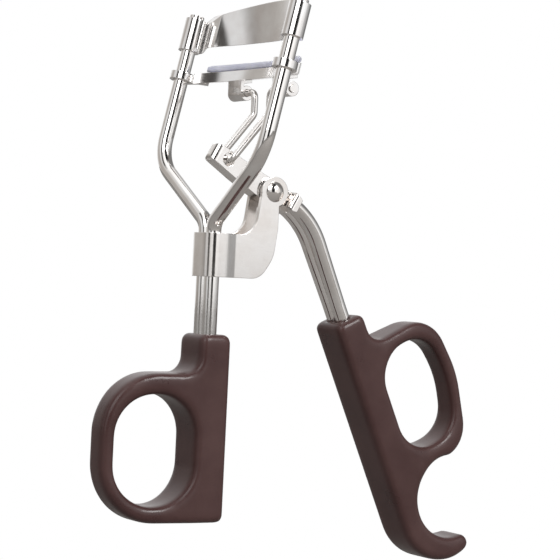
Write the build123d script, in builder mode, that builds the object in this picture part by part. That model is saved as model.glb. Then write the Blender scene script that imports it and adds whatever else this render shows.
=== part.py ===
from build123d import *
import os
from math import cos, hypot, radians, sin, sqrt

# Eyelash curler, in millimetres. +Z runs up along the two straight frame rods, +X points from the
# fixed handle to the moving one, and +Y runs along the pivot. The part is symmetric about Y = 0.
# It is drawn from the foot of the rod bracket and moved at the end, so that the origin is the
# middle of the bottom of the whole tool.

os.makedirs("parts", exist_ok=True)

# ---- round wire and sheet ----
rod_d = 2.8
rod_r = rod_d / 2
rod_gap = 0.04                    # between two rods that lie side by side
rod_side = rod_r + rod_gap / 2    # a rod's centre from the middle plane
wire_d = 1.3
wire_r = wire_d / 2
running_fit = 0.05                # radial clearance of a pin in its eye
slide_fit = 0.10                  # radial clearance of the jaw's loops on the rods

# ---- frame rods ----
rod_foot = -32.0                  # lower end, inside the fixed handle
splay_foot = 9.96                 # height where the rods turn outward
frame_half = 18.67                # a splayed rod's centre from the middle plane
shoulder_x = -0.85
shoulder_z = 21.58                # height where the rods turn upward again
upright_lean = 13.0               # degrees, toward the moving handle
upright_length = 28.8             # shoulder to the rod's upper tip
low_bend = 3.0
shoulder_bend = 8.2

# ---- rod bracket with its two ears ----
collar_sheet = 0.8
collar_height = 8.0
ear_play = 0.15                   # flat side gap between an ear and the lever
ear_head = 2.8
ear_left = 9.25
ear_right = 13.0
pivot_x = 12.0
pivot_z = 16.2

# ---- rivet ----
rivet_r = 1.1
rivet_head_r = 1.9
rivet_dome = 1.0

# ---- lever (folded trough) ----
hole_x = 2.35                     # centre of the hole for the link
hole_z = 21.5
link_hole_r = 1.2
lever_half = 1.65
ear_inside = lever_half + ear_play    # an ear's inner face from the middle plane
lever_sheet = 0.7
lever_nose = -3.4                 # along the lever, from the link hole
step_at = 14.3                    # where the trough widens behind the pivot
flare_end = 16.2
flare_half = 4.15
lever_rod_side = 2.15             # a lever rod's centre at the lever
lever_rod_rise = 0.2
lever_rod_gap = 0.05              # from the trough's step to the end of each lever rod

# ---- moving handle ----
handle_turn = 24.8                # degrees the open handle stands off the frame rods
handle_half = 4.5
handle_round = 1.25               # rounding of the handles' moulded edges
rim_half = 2.7                    # half thickness at the thin rim of a finger ring
handle_rod_v = 5.8                # lever rod centre across the handle
handle_top = 28.0
grip_left = 2.5
grip_right = 9.0
hook_r = 10.1
rest_r = 8.0                      # finger rest inside the hook
hook_tip_r = 1.65
lever_rod_bend = 15.7
lever_rod_meet = 25.0             # where the lever rods come together
lever_rod_end = 48.0

# ---- fixed handle ----
stem_left = -2.9
stem_right = 3.4
stem_top = -10.4
stem_foot = -44.7
ring_left = -21.3
ring_top = -17.6
ring_round = 11.0
finger_hole_round = 7.6

# ---- upper plate ----
sleeve_sheet = 0.6
sleeve_foot = 21.77               # heights along the uprights, from the shoulder
sleeve_top = 28.06
plate_sheet = 0.55
plate_bend = 14.0                 # bend line from the middle plane
plate_bend_x = 2.85
edge_slope = 0.364                # rise of the mating edges per millimetre forward
plate_foot = 22.30
plate_crown_foot = 27.7
plate_crown_slope = 0.781

# ---- lower jaw and pad ----
jaw_centre = -13.4                # centre of the jaw's curve
pad_in = 20.8
pad_out = 23.65
channel_in = 20.5
channel_out = 23.8
channel_sheet = 0.5
pad_top = 18.55
pad_stand = 1.4                   # pad above the channel walls
jaw_height = 3.45
channel_half = 15.0
loop_foot = 15.9
loop_height = 1.5
loop_sheet = 0.75

# ---- link (one bent wire) ----
link_top_x = 9.8
link_top_z = 34.7
link_knee_z = 30.5
link_play = 0.4                   # side gap between the link's legs and the lever
link_leg = lever_half + wire_r + link_play
link_reach = 10.7
lug_middle = 8.0
lug_width = 4.7
lug_sheet = 0.7

# ---- planes ----
lean = radians(upright_lean)
along = Vector(sin(lean), 0, cos(lean))
across = Vector(cos(lean), 0, -sin(lean))
shoulder = Vector(shoulder_x, 0, shoulder_z)
upright_plan = Plane(origin=shoulder, x_dir=across, z_dir=along)
upright_side = Plane(origin=shoulder, x_dir=across, z_dir=(0, -1, 0))

pivot = Vector(pivot_x, 0, pivot_z)
hole = Vector(hole_x, 0, hole_z)
lever_dir = (pivot - hole).normalized()
lever_up = Vector(-lever_dir.Z, 0, lever_dir.X)
lever_plan = Plane(origin=hole, x_dir=lever_dir, z_dir=lever_up)
lever_side = Plane(origin=hole, x_dir=lever_dir, z_dir=(0, -1, 0))
arm = (pivot - hole).length

turn = radians(handle_turn)
handle_out = Vector(cos(turn), 0, sin(turn))
handle_down = Vector(sin(turn), 0, -cos(turn))
handle_side = Plane(origin=pivot, x_dir=handle_out, z_dir=(0, 1, 0))
handle_plan = Plane(origin=pivot, x_dir=handle_out, z_dir=handle_down)
link_top = Vector(link_top_x, 0, link_top_z)
deep = 60.0                       # longer than any piece, for cuts and trims


def rod_along(points, radii, radius):
    """A round rod through the points, with a bend of each radius between them."""
    with BuildPart() as rod:
        with BuildLine() as path:
            FilletPolyline(*points, radius=radii)
        with BuildSketch(Plane(origin=path.line @ 0, z_dir=path.line % 0)):
            Circle(radius)
        sweep()
    return rod


def frame_rod(side):
    """A frame rod; side is -1 or +1 along Y."""
    tip = shoulder + along * upright_length
    points = [
        (0, side * rod_side, rod_foot),
        (0, side * rod_side, splay_foot),
        (shoulder.X, side * frame_half, shoulder.Z),
        (tip.X, side * frame_half, tip.Z),
    ]
    return rod_along(points, [low_bend, shoulder_bend], rod_r)


def lever_rod(side):
    """A lever rod, from the widened end of the lever to the middle of the moving handle."""
    start = hole + lever_dir * (step_at + lever_sheet + lever_rod_gap) + lever_up * lever_rod_rise
    drop = lever_up.dot(handle_down)
    knee_w = (lever_rod_rise - lever_up.dot(pivot + handle_out * handle_rod_v - hole)) / drop
    knee = pivot + handle_out * handle_rod_v + handle_down * knee_w
    meet = pivot + handle_out * handle_rod_v + handle_down * lever_rod_meet
    end = pivot + handle_out * handle_rod_v + handle_down * lever_rod_end
    first = (knee - start).length
    share = first / (first + lever_rod_meet - knee_w)
    knee_side = lever_rod_side + (rod_side - lever_rod_side) * share
    points = [
        (start.X, side * lever_rod_side, start.Z),
        (knee.X, side * knee_side, knee.Z),
        (meet.X, side * rod_side, meet.Z),
        (end.X, side * rod_side, end.Z),
    ]
    return rod_along(points, [lever_rod_bend, lever_rod_bend], rod_r)


# ---- rods ----
left_frame_rod = frame_rod(-1)
right_frame_rod = frame_rod(1)
left_lever_rod = lever_rod(-1)
right_lever_rod = lever_rod(1)

# ---- bracket: one sheet folded round both rods, its ends standing up as ears ----
wrap = rod_side + rod_r
ear_outside = ear_inside + collar_sheet
with BuildPart() as bracket:
    with BuildSketch(Plane.XY.offset(-1)):
        with BuildLine():
            half = [(18, ear_inside), (3.9, ear_inside), (1.7, wrap), (-rod_r, wrap)]
            other = [(x, -y) for x, y in reversed(half)]
            bends = [1.5, 1.0, rod_r]
            FilletPolyline(*half, *other, radius=bends + bends[::-1])
            offset(amount=collar_sheet, side=Side.RIGHT, closed=True)
        make_face()
    extrude(amount=26)
    with BuildSketch(Plane.XZ):
        with BuildLine():
            FilletPolyline(
                (-5, 0), (9.6, 0), (12.3, 4.0), (ear_right, 9.4), (ear_right, pivot_z),
                (ear_left + 0.05, pivot_z), (8.7, 11.7), (8.05, collar_height), (-5, collar_height),
                radius=[0, 3.6, 6.0, 3.0, 0, 0, 6.0, 3.8, 0], close=True,
            )
        make_face()
        with Locations((pivot_x, pivot_z)):
            Circle(ear_head)
            Circle(rivet_r, mode=Mode.SUBTRACT)
    extrude(amount=deep, both=True, mode=Mode.INTERSECT)

# ---- rivet: a shank with a domed head outside each ear ----
dome_r = (rivet_head_r**2 + rivet_dome**2) / (2 * rivet_dome)
dome_mid = ear_outside + rivet_dome - dome_r + sqrt(dome_r**2 - (rivet_head_r / 2) ** 2)
with BuildPart() as rivet:
    with BuildSketch(Plane(origin=pivot, x_dir=(1, 0, 0), z_dir=(0, 0, 1))):
        with BuildLine():
            ThreePointArc(
                (0, ear_outside + rivet_dome), (rivet_head_r / 2, dome_mid), (rivet_head_r, ear_outside)
            )
            Polyline((rivet_head_r, ear_outside), (rivet_r, ear_outside), (rivet_r, 0), (0, 0))
            Line((0, 0), (0, ear_outside + rivet_dome))
        make_face()
    revolve(axis=Axis(tuple(pivot), (0, 1, 0)))
    mirror(about=Plane.XZ)

# ---- lever: a closed-nosed trough, open above, that widens behind the pivot to hold its rods ----
inside_half = lever_half - lever_sheet
seat_half = flare_half - lever_sheet + 0.1
with BuildPart() as lever_hollow:
    with BuildSketch(lever_plan):
        with BuildLine():
            half = [
                (lever_nose + lever_sheet, inside_half), (step_at + lever_sheet, inside_half),
                (step_at + lever_sheet, seat_half), (flare_end + 2, seat_half),
            ]
            other = [(x, -y) for x, y in reversed(half)]
            FilletPolyline(*half, *other, radius=[0.75, 0, 0, 0, 0, 0, 0, 0.75], close=True)
        make_face()
    extrude(amount=10, both=True)
    with BuildSketch(lever_side):
        with BuildLine():
            Polyline(
                (lever_nose - 1, -0.90), (3.0, -1.40), (9.0, -1.70), (14.2, lever_rod_rise - rod_r),
                (18, lever_rod_rise - rod_r), (18, 6), (lever_nose - 1, 6), close=True,
            )
        make_face()
    extrude(amount=deep, both=True, mode=Mode.INTERSECT)

with BuildPart() as lever_flare:
    with BuildSketch(lever_plan):
        with BuildLine():
            half = [
                (step_at - 1.0, 0.5), (step_at - 1.0, lever_half), (step_at, lever_half),
                (step_at + 0.15, flare_half), (flare_end + 1, flare_half),
            ]
            other = [(x, -y) for x, y in reversed(half)]
            FilletPolyline(*half, *other, radius=[0, 0, 0.5, 0.9, 0, 0, 0.9, 0.5, 0, 0], close=True)
        make_face()
    extrude(amount=10, both=True)
    with BuildSketch(lever_side):
        with BuildLine():
            FilletPolyline(
                (step_at - 1.2, -0.95), (step_at, -0.95), (step_at + 1.0, -1.5), (flare_end, -1.2),
                (flare_end, 1.36), (step_at, 2.05), (step_at - 1.2, 2.2),
                radius=[0, 0.3, 0.5, 0.3, 0.4, 1.5, 0], close=True,
            )
        make_face()
    extrude(amount=deep, both=True, mode=Mode.INTERSECT)

with BuildPart() as lever:
    with BuildSketch(lever_plan):
        with BuildLine():
            half = [(lever_nose, lever_half), (17.0, lever_half)]
            other = [(x, -y) for x, y in reversed(half)]
            FilletPolyline(*half, *other, radius=[1.4, 0, 0, 1.4], close=True)
        make_face()
    extrude(amount=10, both=True)
    with BuildSketch(lever_side):
        with BuildLine():
            FilletPolyline(
                (lever_nose, -1.55), (3.0, -2.10), (9.0, -2.40), (14.4, -1.85), (15.8, -1.75),
                (15.8, 1.5), (12.3, 2.50), (8.4, 1.90), (lever_nose, 1.58),
                radius=[0.8, 20, 20, 6, 0, 0, 4, 8, 0.5], close=True,
            )
        make_face()
    extrude(amount=deep, both=True, mode=Mode.INTERSECT)
    add(lever_flare.part)
    add(lever_hollow.part, mode=Mode.SUBTRACT)
    with BuildSketch(lever_side):
        Circle(link_hole_r)
        with Locations((arm, 0)):
            Circle(rivet_r + running_fit)
    extrude(amount=deep, both=True, mode=Mode.SUBTRACT)
    add(left_lever_rod.part, mode=Mode.SUBTRACT)
    add(right_lever_rod.part, mode=Mode.SUBTRACT)


def bent_point(at, side):
    """A point of the link, given by its middle-plane place and its distance to one side."""
    return (at.X, side, at.Z)


# ---- link: one wire, through the lever below and out through the jaw's lugs above ----
knee = Vector(link_top_x, 0, link_knee_z)
half = [
    bent_point(link_top, link_reach), bent_point(link_top, link_leg), bent_point(knee, link_leg),
    bent_point(hole, link_leg),
]
other = [(x, -y, z) for x, y, z in reversed(half)]
link = rod_along([*half, *other], [1.2, 1.6, 1.1, 1.1, 1.6, 1.2], wire_r)

# ---- lower jaw: a curved channel with a strap and loop at each end and two lugs below ----
wall_top = pad_top - pad_stand
channel_foot = pad_top - jaw_height
floor_top = channel_foot + channel_sheet
back_x = -10.0                    # limits of the trimming shapes, behind and before the jaw
front_x = 20.0


def curved_bar(inner, outer, half_width, low, high):
    """A bar that follows the jaw's curve between two planes that rise toward the moving handle."""
    with BuildPart() as bar:
        with BuildSketch(upright_plan):
            with Locations((jaw_centre, 0)):
                Circle(outer)
                Circle(inner, mode=Mode.SUBTRACT)
            with Locations((jaw_centre + deep / 2, 0)):
                Rectangle(deep, 2 * half_width, mode=Mode.INTERSECT)
        extrude(amount=deep)
        with BuildSketch(upright_side):
            with BuildLine():
                Polyline(
                    (back_x, low + back_x * edge_slope), (front_x, low + front_x * edge_slope),
                    (front_x, high + front_x * edge_slope), (back_x, high + back_x * edge_slope),
                    close=True,
                )
            make_face()
        extrude(amount=deep, both=True, mode=Mode.INTERSECT)
    return bar


groove_in = channel_in + channel_sheet
groove_out = channel_out - channel_sheet
groove_half = channel_half - channel_sheet
channel = curved_bar(channel_in, channel_out, channel_half, channel_foot, wall_top)
groove = curved_bar(groove_in, groove_out, groove_half, floor_top, wall_top + 1)
pad_base = curved_bar(groove_in, groove_out, groove_half, floor_top, wall_top)
pad_cap = curved_bar(pad_in, pad_out, channel_half, wall_top, pad_top)

loop_in = rod_r + slide_fit
loop_out = loop_in + loop_sheet
with BuildPart() as jaw_end:
    with BuildSketch(upright_plan.offset(loop_foot)):
        with BuildLine():
            FilletPolyline(
                (loop_out, frame_half), (loop_out + 0.35, 16.4), (3.9, 14.7), (3.0, 14.2),
                (1.9, 15.0), (loop_in, 16.6), (loop_in, frame_half),
                radius=[0, 2.0, 0, 0, 0, 2.0, 0], close=True,
            )
        make_face()
        with Locations((0, frame_half)):
            Circle(loop_out)
            Circle(loop_in, mode=Mode.SUBTRACT)
    extrude(amount=loop_height)

# lug: a strip spot-welded under the channel and curled round the link's wire
under = shoulder + along * channel_foot
lug_weld = 0.15                   # how far its foot sinks into the channel's floor
foot_sheet = 0.6
foot_from = 8.4
foot_to = 10.8


def under_channel(x):
    """Height of the channel's underside above a point x of the middle plane."""
    forward = (x - under.X) / (across.X + along.X * edge_slope)
    return under.Z + forward * (across.Z + along.Z * edge_slope)


eye_in = wire_r + running_fit
eye_out = eye_in + lug_sheet
with BuildPart() as lug:
    with BuildSketch(Plane.XZ.offset(-lug_middle)):
        with BuildLine():
            Polyline(
                (link_top_x - eye_out, link_top_z),
                (foot_from, under_channel(foot_from) + lug_weld),
                (foot_to, under_channel(foot_to) + lug_weld),
                (foot_to, under_channel(foot_to) - foot_sheet),
                (foot_from + lug_sheet, under_channel(foot_from) - foot_sheet),
                (link_top_x - eye_in, link_top_z),
                close=True,
            )
        make_face()
        with Locations((link_top_x, link_top_z)):
            Circle(eye_out)
            Circle(eye_in, mode=Mode.SUBTRACT)
    extrude(amount=lug_width / 2, both=True)

with BuildPart() as lower_jaw:
    add(jaw_end.part)
    add(lug.part)
    mirror(about=Plane.XZ)
    add(channel.part)
    add(groove.part, mode=Mode.SUBTRACT)

with BuildPart() as silicone_pad:
    add(pad_cap.part)
    fillet(silicone_pad.faces().sort_by(Axis(tuple(shoulder), tuple(along)))[-1].edges(), 0.45)
    add(pad_base.part)

# ---- upper plate: a curved, crowned plate with a sleeve rolled round each upright ----
plate_inner = rod_r + sleeve_sheet - plate_sheet
plate_mid = 7.8                   # the plate's middle, forward of the uprights, at mid_height
mid_height = 25.1
plate_back_lean = 0.25            # the middle's lean back, per millimetre of height
section_low = 20.0
section_high = 36.0


def plate_section(height):
    """The plate's bent sheet, cut across the uprights at one height above the shoulder."""
    middle = plate_mid - plate_back_lean * (height - mid_height)
    with BuildSketch(upright_plan.offset(height)) as section:
        with BuildLine():
            Line((plate_inner, frame_half), (plate_bend_x - plate_sheet / 2, plate_bend))
            ThreePointArc(
                (plate_bend_x - plate_sheet / 2, plate_bend), (middle, 0),
                (plate_bend_x - plate_sheet / 2, -plate_bend),
            )
            Line((plate_bend_x - plate_sheet / 2, -plate_bend), (plate_inner, -frame_half))
            offset(amount=plate_sheet, side=Side.LEFT, closed=True)
        make_face()
    return section.sketch


sleeve_out = rod_r + sleeve_sheet
seam = 0.35                       # gap left where the sleeve's edge meets its own sheet
seam_cut = 2.0                    # depth of that gap, through the sleeve's sheet
with BuildPart() as upper_plate:
    loft([plate_section(section_low), plate_section(section_high)], ruled=True)
    with BuildSketch(upright_side):
        with BuildLine():
            FilletPolyline(
                (back_x, sleeve_foot), (sleeve_out - 0.05, sleeve_foot),
                (2.2, plate_foot + 2.2 * edge_slope), (front_x, plate_foot + front_x * edge_slope),
                (front_x, plate_crown_foot + front_x * plate_crown_slope),
                (2.6, plate_crown_foot + 2.6 * plate_crown_slope), (sleeve_out, sleeve_top),
                (back_x, sleeve_top),
                radius=[0, 0.3, 0.3, 0, 0, 1.0, 0.3, 0], close=True,
            )
        make_face()
    extrude(amount=deep, both=True, mode=Mode.INTERSECT)
    with BuildSketch(upright_plan.offset(sleeve_foot)):
        with Locations((0, frame_half), (0, -frame_half)):
            Circle(sleeve_out)
    extrude(amount=sleeve_top - sleeve_foot)
    with BuildSketch(upright_plan.offset(sleeve_foot - 1)):
        with Locations((0, frame_half), (0, -frame_half)):
            Circle(rod_r)
        seam_side = frame_half - sleeve_out
        with Locations((sleeve_out / 2, seam_side), (sleeve_out / 2, -seam_side)):
            Rectangle(seam, seam_cut)
    extrude(amount=deep, mode=Mode.SUBTRACT)

# ---- fixed handle: a stem with a thin-rimmed finger ring, moulded over the frame rods ----
with BuildPart() as fixed_handle:
    with BuildSketch(Plane.XZ):
        with BuildLine():
            FilletPolyline(
                (stem_left, stem_top), (stem_right, stem_top), (stem_right, stem_foot),
                (ring_left, stem_foot), (ring_left, ring_top), (stem_left, ring_top),
                radius=[1.4, 1.4, 1.2, ring_round, ring_round, 3.0], close=True,
            )
        make_face()
        with BuildLine():
            FilletPolyline(
                (-3.1, -21.5), (-3.1, -41.6), (-18.5, -41.6), (-18.5, -21.5),
                radius=finger_hole_round, close=True,
            )
        make_face(mode=Mode.SUBTRACT)
    extrude(amount=handle_half, both=True)
    with BuildSketch(Plane.XY.offset(stem_foot - 1)):
        with BuildLine():
            FilletPolyline(
                (stem_right, handle_half), (stem_left, handle_half), (ring_left, rim_half),
                (ring_left, -rim_half), (stem_left, -handle_half), (stem_right, -handle_half),
                radius=[0, 20, 0, 0, 20, 0], close=True,
            )
        make_face()
    extrude(amount=deep, mode=Mode.INTERSECT)
    outline = fixed_handle.edges().filter_by(Axis.Y, reverse=True).filter_by(Axis.Z, reverse=True)
    fillet(outline, handle_round)
    add(left_frame_rod.part, mode=Mode.SUBTRACT)
    add(right_frame_rod.part, mode=Mode.SUBTRACT)

# ---- moving handle: a stem with a finger ring, ending in an open hook for the next finger ----
hook_v = 12.6                     # centre of the hook's outer curve, across and down the handle
hook_w = 71.0
rest_v = 15.2                     # centre of the finger rest
rest_w = 69.7
rim_v = 26.4                      # thin rim of the ring
taper_v = 10.5                    # where the ring starts to thin

# the hook's rounded tip touches the outer curve and the finger rest
tip_reach = hook_r - hook_tip_r
rest_reach = rest_r + hook_tip_r
apart = hypot(rest_v - hook_v, rest_w - hook_w)
toward = ((rest_v - hook_v) / apart, (rest_w - hook_w) / apart)
tip_on = (tip_reach**2 - rest_reach**2 + apart**2) / (2 * apart)
tip_off = sqrt(tip_reach**2 - tip_on**2)
tip_v = hook_v + tip_on * toward[0] - tip_off * toward[1]
tip_w = hook_w + tip_on * toward[1] + tip_off * toward[0]

with BuildPart() as moving_handle:
    with BuildSketch(handle_side) as hook_outline:
        with BuildLine():
            FilletPolyline(
                (grip_left, handle_top), (grip_right, handle_top), (grip_right, 34.5), (24.6, 34.5),
                (rim_v, 48.0), (23.2, 62.3), (17.0, 62.3), (17.0, hook_w), (grip_left, hook_w),
                radius=[1.3, 1.3, 3.0, 7.5, 20, 6.5, 0, 0, 0], close=True,
            )
        make_face()
        with Locations((hook_v, hook_w)):
            Circle(hook_r)
        with BuildLine():
            Polyline(
                (rest_v, rest_w), (tip_v, tip_w), (2 * tip_v - hook_v, 2 * tip_w - hook_w),
                (40, 2 * tip_w - hook_w), (40, rest_w), close=True,
            )
        make_face(mode=Mode.SUBTRACT)
        with Locations((tip_v, tip_w)):
            Circle(hook_tip_r)
        with Locations((rest_v, rest_w)):
            Circle(rest_r, mode=Mode.SUBTRACT)
        shelf = hook_outline.vertices().filter_by_position(Axis.X, 17.5, 20)
        fillet(shelf.filter_by_position(Axis.Y, 61.5, 63), 1.5)
        with BuildLine():
            FilletPolyline(
                (9.0, 37.5), (22.0, 37.5), (23.7, 48.0), (21.6, 58.4), (9.0, 58.4),
                radius=[6.5, 6.5, 20, 6.5, 6.5], close=True,
            )
        make_face(mode=Mode.SUBTRACT)
    extrude(amount=handle_half, both=True)
    with BuildSketch(handle_plan.offset(handle_top - 1)):
        with BuildLine():
            FilletPolyline(
                (0, handle_half), (taper_v, handle_half), (rim_v + 1, rim_half),
                (rim_v + 1, -rim_half), (taper_v, -handle_half), (0, -handle_half),
                radius=[0, 20, 0, 0, 20, 0], close=True,
            )
        make_face()
    extrude(amount=deep, mode=Mode.INTERSECT)
    crease = Axis((0, 0, 0), tuple(handle_down))
    outline = moving_handle.edges().filter_by(Axis.Y, reverse=True).filter_by(crease, reverse=True)
    fillet(outline, handle_round)
    add(left_lever_rod.part, mode=Mode.SUBTRACT)
    add(right_lever_rod.part, mode=Mode.SUBTRACT)

pieces = {
    "left_frame_rod": left_frame_rod,
    "right_frame_rod": right_frame_rod,
    "bracket": bracket,
    "rivet": rivet,
    "upper_plate": upper_plate,
    "fixed_handle": fixed_handle,
    "lever": lever,
    "left_lever_rod": left_lever_rod,
    "right_lever_rod": right_lever_rod,
    "moving_handle": moving_handle,
    "link": link,
    "lower_jaw": lower_jaw,
    "silicone_pad": silicone_pad,
}

# ---- move the origin to the middle of the bottom, and write one file for each piece ----
boxes = [piece.part.bounding_box() for piece in pieces.values()]
left = min(box.min.X for box in boxes)
right = max(box.max.X for box in boxes)
bottom = min(box.min.Z for box in boxes)
to_origin = Pos(-(left + right) / 2, 0, -bottom)
for name, piece in pieces.items():
    piece.part.label = name
    piece.part.move(to_origin)
    export_step(piece.part, f"parts/{name}.step")
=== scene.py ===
import math

import bmesh
import bpy
from mathutils import Matrix, Vector


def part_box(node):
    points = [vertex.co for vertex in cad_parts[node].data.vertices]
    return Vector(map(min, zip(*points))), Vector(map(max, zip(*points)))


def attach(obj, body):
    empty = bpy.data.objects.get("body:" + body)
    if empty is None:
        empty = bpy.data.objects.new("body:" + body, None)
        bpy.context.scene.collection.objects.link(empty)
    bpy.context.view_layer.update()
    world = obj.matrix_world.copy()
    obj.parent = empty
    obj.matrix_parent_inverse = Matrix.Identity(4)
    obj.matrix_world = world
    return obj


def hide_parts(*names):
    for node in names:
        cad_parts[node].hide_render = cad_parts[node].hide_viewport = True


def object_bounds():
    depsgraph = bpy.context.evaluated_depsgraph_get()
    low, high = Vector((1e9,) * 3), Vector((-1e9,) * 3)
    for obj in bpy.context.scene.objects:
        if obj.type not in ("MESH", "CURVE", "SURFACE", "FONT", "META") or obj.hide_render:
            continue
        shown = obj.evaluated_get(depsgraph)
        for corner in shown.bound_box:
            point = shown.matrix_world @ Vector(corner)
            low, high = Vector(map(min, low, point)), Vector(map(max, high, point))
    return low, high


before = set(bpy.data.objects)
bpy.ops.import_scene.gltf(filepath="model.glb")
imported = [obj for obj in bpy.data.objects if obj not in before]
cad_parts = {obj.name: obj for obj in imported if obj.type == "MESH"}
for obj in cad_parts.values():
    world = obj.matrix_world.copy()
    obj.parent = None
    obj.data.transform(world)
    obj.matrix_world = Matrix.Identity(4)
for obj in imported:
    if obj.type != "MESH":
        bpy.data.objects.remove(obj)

cad_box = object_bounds()
MM = 0.001

# Places that the model gives. The bracket's collar hugs the two straight rods, and the tool is
# symmetric about Y = 0. The uprights lean toward the moving handle, and the jaw slides up them.
ROD = 2.8 * MM
COLLAR_SHEET = 0.8 * MM
SHOULDER_BACK = 0.85 * MM          # the uprights' foot, behind the straight rods and above the collar
SHOULDER_RISE = 21.58 * MM
collar_low = Vector(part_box("bracket")[0])
rods_x = collar_low.x + COLLAR_SHEET + ROD / 2
LEAN = math.radians(13.0)
shoulder = Vector((rods_x - SHOULDER_BACK, 0, collar_low.z + SHOULDER_RISE))
across = Vector((math.cos(LEAN), 0, -math.sin(LEAN)))
along = Vector((math.sin(LEAN), 0, math.cos(LEAN)))
upright_frame = Matrix.Translation(shoulder) @ Matrix(
    (across, Vector((0, 1, 0)), along)).transposed().to_4x4()


# ---------------------------------------------------------------- materials

def linear(hex_colour):
    """An sRGB colour such as '#B0A89F' as the linear colour that shaders want."""
    channels = [int(hex_colour[i:i + 2], 16) / 255 for i in (1, 3, 5)]
    return [c / 12.92 if c <= 0.04045 else ((c + 0.055) / 1.055) ** 2.4 for c in channels] + [1.0]


def socket_of(node, name):
    """An input by its name, with '_' for a space, or by its number, as in 'i6'."""
    if name[0] == "i" and name[1:].isdigit():
        return node.inputs[int(name[1:])]
    return node.inputs[name.replace("_", " ")]


def add_node(tree, kind, settings=None, **links):
    """Adds a node. A link's value is a socket to join, or a plain value to set."""
    node = tree.nodes.new(kind)
    for name, value in (settings or {}).items():
        setattr(node, name, value)
    for name, value in links.items():
        if isinstance(value, bpy.types.NodeSocket):
            tree.links.new(value, socket_of(node, name))
        else:
            socket_of(node, name).default_value = value
    return node


def new_material(name):
    """An empty material with its output node."""
    material = bpy.data.materials.new(name)
    material.use_nodes = True
    tree = material.node_tree
    tree.nodes.clear()
    return material, tree, tree.nodes.new("ShaderNodeOutputMaterial")


def ramp(tree, factor, stops):
    """A colour ramp through the stops, each a place and a colour."""
    node = add_node(tree, "ShaderNodeValToRGB", Fac=factor)
    elements = node.color_ramp.elements
    while len(elements) < len(stops):
        elements.new(0.5)
    for element, (place, colour) in zip(elements, stops):
        element.position = place
        element.color = colour
    return node.outputs["Color"]


def grey(value):
    return (value, value, value, 1.0)


def warm(value):
    """A grey a little toward the yellow of a room's walls."""
    return (value, value * 0.95, value * 0.90, 1.0)


def noise(tree, place, size, detail, roughness):
    """A noise whose lumps are about the given size."""
    return add_node(tree, "ShaderNodeTexNoise", Vector=place, Scale=1 / size, Detail=detail,
                    Roughness=roughness).outputs["Fac"]


def spread(tree, value, low, high):
    """A noise value spread between two limits."""
    return add_node(tree, "ShaderNodeMapRange", Value=value, From_Min=0.3, From_Max=0.7, To_Min=low,
                    To_Max=high).outputs["Result"]


EDGE = 0.14 * MM                   # tumbled edges of wire ends and cut sheet


def nickel_plate(name, light, dark, smooth, dull, mark_stretch, cut_edges=True):
    """Bright nickel on polished steel: a warm mirror, a little cloudy in patches, with hairline
    polishing marks along the piece and edges softened by tumbling."""
    material, tree, output = new_material(name)
    place = add_node(tree, "ShaderNodeTexCoord").outputs["Object"]
    clouds = noise(tree, place, 5.0 * MM, 3.0, 0.5)
    stretched = add_node(tree, "ShaderNodeMapping", Vector=place, Scale=mark_stretch).outputs["Vector"]
    marks = noise(tree, stretched, 0.22 * MM, 2.0, 0.6)
    colour = ramp(tree, clouds, [(0.35, linear(dark)), (0.65, linear(light))])
    rough = add_node(tree, "ShaderNodeMath", {"operation": "MULTIPLY_ADD"}, i0=marks, i1=0.06,
                     i2=spread(tree, clouds, smooth, dull)).outputs["Value"]
    bump = add_node(tree, "ShaderNodeBump", Height=marks, Strength=0.03, Distance=0.02 * MM)
    if cut_edges:
        edge = add_node(tree, "ShaderNodeBevel", {"samples": 8}, Radius=EDGE).outputs["Normal"]
        tree.links.new(edge, bump.inputs["Normal"])
    shader = add_node(tree, "ShaderNodeBsdfPrincipled", Base_Color=colour, Metallic=1.0, Roughness=rough,
                      Normal=bump.outputs["Normal"])
    tree.links.new(shader.outputs["BSDF"], output.inputs["Surface"])
    return material


def moulded_plastic(name):
    """Dark brown ABS from a polished mould: satin gloss with a faint orange peel and finer
    graining that breaks the highlights, a shade lighter where hands have rubbed it."""
    material, tree, output = new_material(name)
    place = add_node(tree, "ShaderNodeTexCoord").outputs["Object"]
    peel = noise(tree, place, 1.3 * MM, 2.0, 0.5)
    grain = noise(tree, place, 0.3 * MM, 2.0, 0.6)
    patches = noise(tree, place, 9.0 * MM, 4.0, 0.55)
    colour = ramp(tree, patches, [(0.3, linear("#432C2B")), (0.7, linear("#513937"))])
    height = add_node(tree, "ShaderNodeMath", {"operation": "MULTIPLY_ADD"}, i0=grain, i1=0.45,
                      i2=peel).outputs["Value"]
    bump = add_node(tree, "ShaderNodeBump", Height=height, Strength=0.22, Distance=0.07 * MM)
    shader = add_node(tree, "ShaderNodeBsdfPrincipled", Base_Color=colour,
                      Roughness=spread(tree, patches, 0.26, 0.38), IOR=1.53, Specular_IOR_Level=0.3,
                      Coat_Weight=0.08, Coat_Roughness=0.14, Normal=bump.outputs["Normal"])
    tree.links.new(shader.outputs["BSDF"], output.inputs["Surface"])
    return material


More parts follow.
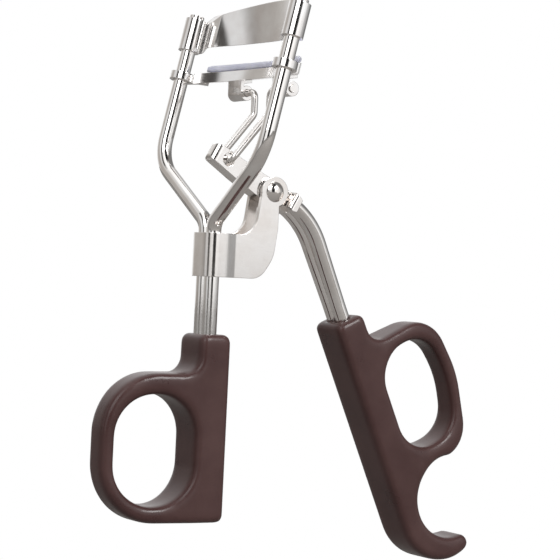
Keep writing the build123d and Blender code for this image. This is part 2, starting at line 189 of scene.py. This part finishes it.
def cast_silicone(name):
    """Translucent silicone rubber with a pale lilac tint: milky, soft light inside, a satin skin."""
    material, tree, output = new_material(name)
    place = add_node(tree, "ShaderNodeTexCoord").outputs["Object"]
    milk = noise(tree, place, 2.5 * MM, 3.0, 0.5)
    skin = noise(tree, place, 0.3 * MM, 2.0, 0.5)
    colour = ramp(tree, milk, [(0.3, linear("#CFD1E4")), (0.7, linear("#E2E3F0"))])
    bump = add_node(tree, "ShaderNodeBump", Height=skin, Strength=0.10, Distance=0.03 * MM)
    shader = add_node(tree, "ShaderNodeBsdfPrincipled", Base_Color=colour,
                      Roughness=spread(tree, milk, 0.28, 0.40), IOR=1.41, Transmission_Weight=0.15,
                      Subsurface_Weight=0.5, Subsurface_Scale=1.5 * MM,
                      Subsurface_Radius=(1.0, 0.95, 1.1), Normal=bump.outputs["Normal"])
    tree.links.new(shader.outputs["BSDF"], output.inputs["Surface"])
    return material


def finish_node(node_name, material):
    """Gives a node of the model its material."""
    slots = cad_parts[node_name].data.materials
    slots.clear()
    slots.append(material)


rod_plate = nickel_plate("nickel_plated_wire", "#FAF8F6", "#EFEBE8", 0.03, 0.08, (1, 1, 0.06),
                         cut_edges=False)
sheet_plate = nickel_plate("nickel_plated_sheet", "#F9F8F7", "#ECE8E6", 0.07, 0.13, (1, 0.08, 1))
pressed_plate = nickel_plate("nickel_plated_pressing", "#F7F4F2", "#E8E3DF", 0.08, 0.15, (0.1, 1, 0.6))
handle_plastic = moulded_plastic("moulded_brown_plastic")
silicone = cast_silicone("cast_silicone")

FINISHES = {
    rod_plate: ("left_frame_rod", "right_frame_rod", "left_lever_rod", "right_lever_rod", "link"),
    sheet_plate: ("upper_plate", "lower_jaw"),
    pressed_plate: ("bracket", "lever", "rivet"),
    handle_plastic: ("fixed_handle", "moving_handle"),
    silicone: ("silicone_pad",),
}
for finish, node_names in FINISHES.items():
    for node_name in node_names:
        finish_node(node_name, finish)


# ---------------------------------------------------------------- handles

def place_piece(name, mesh):
    """A new piece at the origin with the given mesh."""
    piece = bpy.data.objects.new(name, mesh)
    bpy.context.scene.collection.objects.link(piece)
    return piece


def settle(piece, name):
    """Turns a piece's modifiers into a plain mesh."""
    evaluated = piece.evaluated_get(bpy.context.evaluated_depsgraph_get())
    mesh = bpy.data.meshes.new_from_object(evaluated)
    mesh.name = name
    piece.modifiers.clear()
    piece.data = mesh
    return mesh


MESH_STEP = 0.32 * MM              # mesh size on the softened handles
ROUNDING_PASSES = 22               # each pass rounds the edges a little more
MERGE_GAP = 0.001 * MM             # points closer than this are one point


def soft_moulding(node_name, name, body):
    """A handle with the rounder edges and blended corners of a moulding."""
    build = bmesh.new()
    build.from_mesh(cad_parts[node_name].data)
    bmesh.ops.remove_doubles(build, verts=build.verts, dist=MERGE_GAP)
    bmesh.ops.recalc_face_normals(build, faces=build.faces)
    mesh = bpy.data.meshes.new(name)
    build.to_mesh(mesh)
    build.free()
    piece = place_piece(name, mesh)
    remesh = piece.modifiers.new("even_mesh", "REMESH")
    remesh.mode = "VOXEL"
    remesh.voxel_size = MESH_STEP
    soften = piece.modifiers.new("rounding", "SMOOTH")
    soften.factor = 0.5
    soften.iterations = ROUNDING_PASSES
    mesh = settle(piece, name)
    mesh.materials.clear()
    mesh.materials.append(handle_plastic)
    mesh.shade_smooth()
    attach(piece, body)
    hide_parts(node_name)


soft_moulding("fixed_handle", "fixed_handle_moulding", "frame")
soft_moulding("moving_handle", "moving_handle_moulding", "lever_arm")


# ---------------------------------------------------------------- silicone pad

# The pad follows the jaw's curve. Lengths are in the uprights' frame: across, sideways, along.
PAD = {
    "Centre": -13.4 * MM,          # centre of the jaw's curve
    "Radius": 22.225 * MM,
    "Half Angle": math.radians(41.6),
    "Width": 2.75 * MM,
    "Height": 1.42 * MM,
    "Rounding": 0.62 * MM,
    "Foot": 17.13 * MM,            # underside above the shoulder, at the uprights
    "Slope": 0.364,                # rise toward the moving handle
    "End Size": 0.80,              # size of the section at the pad's ends
}
ARC_STEPS = 96
DIMPLE_SIZE = 1.6 * MM             # unevenness of the cast skin
DIMPLE_DEPTH = 0.12 * MM

pad_nodes = bpy.data.node_groups.new("curved_pad", "GeometryNodeTree")
for key, value in PAD.items():
    socket = pad_nodes.interface.new_socket(key, in_out="INPUT", socket_type="NodeSocketFloat")
    socket.default_value = value
pad_nodes.interface.new_socket("Material", in_out="INPUT", socket_type="NodeSocketMaterial")
pad_nodes.interface.new_socket("Geometry", in_out="OUTPUT", socket_type="NodeSocketGeometry")


def sum_of(tree, first, second, operation="ADD"):
    return add_node(tree, "ShaderNodeMath", {"operation": operation}, i0=first, i1=second).outputs[0]


def build_pad(tree):
    """A flat arc swept with a rounded section, smaller at its ends, then sloped to rise forward."""
    given = tree.nodes.new("NodeGroupInput").outputs
    sweep = sum_of(tree, given["Half Angle"], 2.0, "MULTIPLY")
    start = sum_of(tree, given["Half Angle"], -1.0, "MULTIPLY")
    arc = add_node(tree, "GeometryNodeCurveArc", {"mode": "RADIUS"}, Resolution=ARC_STEPS,
                   Radius=given["Radius"], Start_Angle=start, Sweep_Angle=sweep).outputs["Curve"]
    spot = add_node(tree, "ShaderNodeSeparateXYZ", Vector=tree.nodes.new(
        "GeometryNodeInputPosition").outputs[0]).outputs
    forward = sum_of(tree, spot["X"], given["Centre"])
    middle = sum_of(tree, given["Foot"], sum_of(tree, given["Height"], 0.5, "MULTIPLY"))
    spot_now = add_node(tree, "ShaderNodeCombineXYZ", X=forward, Y=spot["Y"], Z=middle).outputs[0]
    path = add_node(tree, "GeometryNodeSetPosition", Geometry=arc, Position=spot_now).outputs[0]
    factor = tree.nodes.new("GeometryNodeSplineParameter").outputs["Factor"]
    from_end = add_node(tree, "ShaderNodeMath", {"operation": "PINGPONG"}, i0=factor, i1=0.5).outputs[0]
    size = add_node(tree, "ShaderNodeMapRange", {"interpolation_type": "SMOOTHSTEP"}, Value=from_end,
                    From_Min=0.0, From_Max=0.035, To_Min=given["End Size"], To_Max=1.0).outputs["Result"]
    path = add_node(tree, "GeometryNodeSetCurveRadius", Curve=path, Radius=size).outputs[0]
    outline = add_node(tree, "GeometryNodeCurvePrimitiveQuadrilateral", Width=given["Width"],
                       Height=given["Height"]).outputs["Curve"]
    section = add_node(tree, "GeometryNodeFilletCurve", {"mode": "POLY"}, Curve=outline, Count=8,
                       Radius=given["Rounding"]).outputs["Curve"]
    bar = add_node(tree, "GeometryNodeCurveToMesh", Curve=path, Profile_Curve=section, Fill_Caps=True)
    if "Scale" in bar.inputs:
        tree.links.new(size, bar.inputs["Scale"])
    dimples = add_node(tree, "ShaderNodeTexNoise", Scale=1 / DIMPLE_SIZE, Detail=1.0).outputs["Fac"]
    swell = sum_of(tree, sum_of(tree, dimples, 0.8, "SUBTRACT"), DIMPLE_DEPTH, "MULTIPLY")
    normal = tree.nodes.new("GeometryNodeInputNormal").outputs[0]
    shift = add_node(tree, "ShaderNodeVectorMath", {"operation": "SCALE"}, i0=normal,
                     Scale=swell).outputs[0]
    uneven = add_node(tree, "GeometryNodeSetPosition", Geometry=bar.outputs[0], Offset=shift).outputs[0]
    rise = sum_of(tree, spot["X"], given["Slope"], "MULTIPLY")
    lift = add_node(tree, "ShaderNodeCombineXYZ", Z=rise).outputs[0]
    sloped = add_node(tree, "GeometryNodeSetPosition", Geometry=uneven, Offset=lift).outputs[0]
    smooth = add_node(tree, "GeometryNodeSetShadeSmooth", Geometry=sloped).outputs[0]
    whole = add_node(tree, "GeometryNodeRealizeInstances", Geometry=smooth).outputs[0]
    clad = add_node(tree, "GeometryNodeSetMaterial", Geometry=whole,
                    Material=given["Material"]).outputs[0]
    tree.links.new(clad, tree.nodes.new("NodeGroupOutput").inputs[0])


build_pad(pad_nodes)
pad = place_piece("curved_silicone_pad", bpy.data.meshes.new("curved_silicone_pad"))
shape = pad.modifiers.new("curved_pad", "NODES")
shape.node_group = pad_nodes
for item in pad_nodes.interface.items_tree:
    if item.in_out == "INPUT":
        shape[item.identifier] = silicone if item.name == "Material" else PAD[item.name]
pad_mesh = settle(pad, "curved_silicone_pad")
pad_mesh.transform(upright_frame)
build = bmesh.new()
build.from_mesh(pad_mesh)
bmesh.ops.remove_doubles(build, verts=build.verts, dist=MERGE_GAP)
bmesh.ops.recalc_face_normals(build, faces=build.faces)
build.to_mesh(pad_mesh)
build.free()
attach(pad, "jaw")
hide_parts("silicone_pad")


# ---------------------------------------------------------------- studio

def camera_white(tree, lit):
    """Plain white where the camera looks straight at it, and the given shader for all other light."""
    white = add_node(tree, "ShaderNodeEmission", Color=grey(1.0), Strength=1.0).outputs[0]
    seen = add_node(tree, "ShaderNodeLightPath").outputs["Is Camera Ray"]
    return add_node(tree, "ShaderNodeMixShader", i0=seen, i1=lit, i2=white).outputs[0]


TABLE_GAP = 20 * MM                # the closing handle swings below the open tool


def pale_floor(size):
    """A lit white table under the tool, dim enough from below to leave the undersides dark."""
    mesh = bpy.data.meshes.new("studio_floor")
    build = bmesh.new()
    bmesh.ops.create_grid(build, x_segments=1, y_segments=1, size=size)
    bmesh.ops.translate(build, verts=build.verts, vec=(0, 0, cad_box[0][2] - TABLE_GAP))
    build.to_mesh(mesh)
    build.free()
    material, tree, output = new_material("matt_white_table")
    paper = noise(tree, add_node(tree, "ShaderNodeTexCoord").outputs["Object"], 4 * MM, 2.0, 0.5)
    shader = add_node(tree, "ShaderNodeBsdfPrincipled", Base_Color=linear("#8E8B88"),
                      Roughness=spread(tree, paper, 0.85, 0.95))
    tree.links.new(camera_white(tree, shader.outputs["BSDF"]), output.inputs["Surface"])
    mesh.materials.append(material)
    floor = bpy.data.objects.new("studio_floor", mesh)
    bpy.context.scene.collection.objects.link(floor)


def soft_box(name, place, aim, size, watts):
    """A square soft box that faces the aim point."""
    data = bpy.data.lights.new(name, "AREA")
    data.shape = "SQUARE"
    data.size = size
    data.energy = watts
    light = bpy.data.objects.new(name, data)
    light.location = place
    light.rotation_euler = (aim - place).to_track_quat("-Z", "Y").to_euler()
    bpy.context.scene.collection.objects.link(light)


def aim_camera(azimuth, elevation, roll, distance, aim, lens):
    """A camera round the aim point. Azimuth 0 looks along +Y; a positive roll leans the tool right."""
    a, e, r = (math.radians(v) for v in (azimuth, elevation, roll))
    back = Vector((math.sin(a) * math.cos(e), -math.cos(a) * math.cos(e), math.sin(e)))
    level = Vector((math.cos(a), math.sin(a), 0))
    upright = back.cross(level)
    right = math.cos(r) * level + math.sin(r) * upright
    up = math.cos(r) * upright - math.sin(r) * level
    data = bpy.data.cameras.new("camera")
    data.lens = lens
    data.sensor_width = 36.0
    camera = bpy.data.objects.new("camera", data)
    camera.matrix_world = Matrix.Translation(aim + distance * back) @ Matrix(
        (right, up, back)).transposed().to_4x4()
    bpy.context.scene.collection.objects.link(camera)
    bpy.context.scene.camera = camera
    return back, level


def studio_world(facing, level):
    """A white studio, dim at the left and below. A dark gap between its panels, on the viewer's side,
    is what the polished metal shows as dark lines."""
    world = bpy.data.worlds.new("studio")
    bpy.context.scene.world = world
    world.use_nodes = True
    tree = world.node_tree
    tree.nodes.clear()
    way = add_node(tree, "ShaderNodeTexCoord").outputs["Generated"]

    def share(direction, low, high):
        amount = add_node(tree, "ShaderNodeVectorMath", {"operation": "DOT_PRODUCT"}, i0=way,
                          i1=tuple(direction)).outputs["Value"]
        return add_node(tree, "ShaderNodeMapRange", Value=amount, From_Min=low, From_Max=high).outputs[
            "Result"]

    sideways = share(level, -1.0, 1.0)
    panels = ramp(tree, sideways, [
        (0.00, warm(0.28)), (0.04, grey(0.75)), (0.12, grey(0.75)), (0.15, warm(0.06)),
        (0.24, warm(0.10)), (0.28, grey(0.90)), (0.40, grey(1.05)), (0.50, grey(1.20)),
        (0.53, grey(0.00)), (0.74, grey(0.02)), (0.78, grey(1.25)), (0.90, grey(1.15)),
        (1.00, grey(0.90)),
    ])
    rear = ramp(tree, sideways, [
        (0.00, warm(0.42)), (0.08, warm(0.50)), (0.18, grey(0.85)), (0.40, grey(1.05)),
        (0.56, grey(1.00)), (0.66, grey(0.20)), (0.90, grey(0.20)), (1.00, grey(0.55)),
    ])
    near = share(facing, -0.05, 0.15)
    room = add_node(tree, "ShaderNodeMix", {"data_type": "RGBA"}, Factor=near, i6=rear,
                    i7=panels).outputs[2]
    height = ramp(tree, share((0, 0, 1), -1.0, 1.0), [
        (0.00, grey(0.15)), (0.40, grey(0.55)), (0.50, grey(0.95)), (0.75, grey(1.00)),
        (1.00, grey(1.15)),
    ])
    light = add_node(tree, "ShaderNodeMix", {"data_type": "RGBA", "blend_type": "MULTIPLY"}, Factor=1.0,
                     i6=room, i7=height).outputs[2]
    lit = add_node(tree, "ShaderNodeBackground", Color=light, Strength=1.0).outputs[0]
    output = tree.nodes.new("ShaderNodeOutputWorld")
    tree.links.new(camera_white(tree, lit), output.inputs["Surface"])


bpy.context.scene.view_settings.view_transform = "Standard"
aim = Vector((rods_x + 15.572 * MM, 0, collar_low.z))
back, level = aim_camera(-31.795, 0.05, 2.773, 0.380, aim, 130.84)
pale_floor(4.0)
studio_world(back, level)
soft_box("key_soft_box", aim + 0.5 * back + 0.6 * level + Vector((0, 0, 0.6)), aim, 0.35, 5.0)
soft_box("fill_soft_box", aim + 0.7 * back - 0.2 * level + Vector((0, 0, 0.5)), aim, 0.5, 1.5)
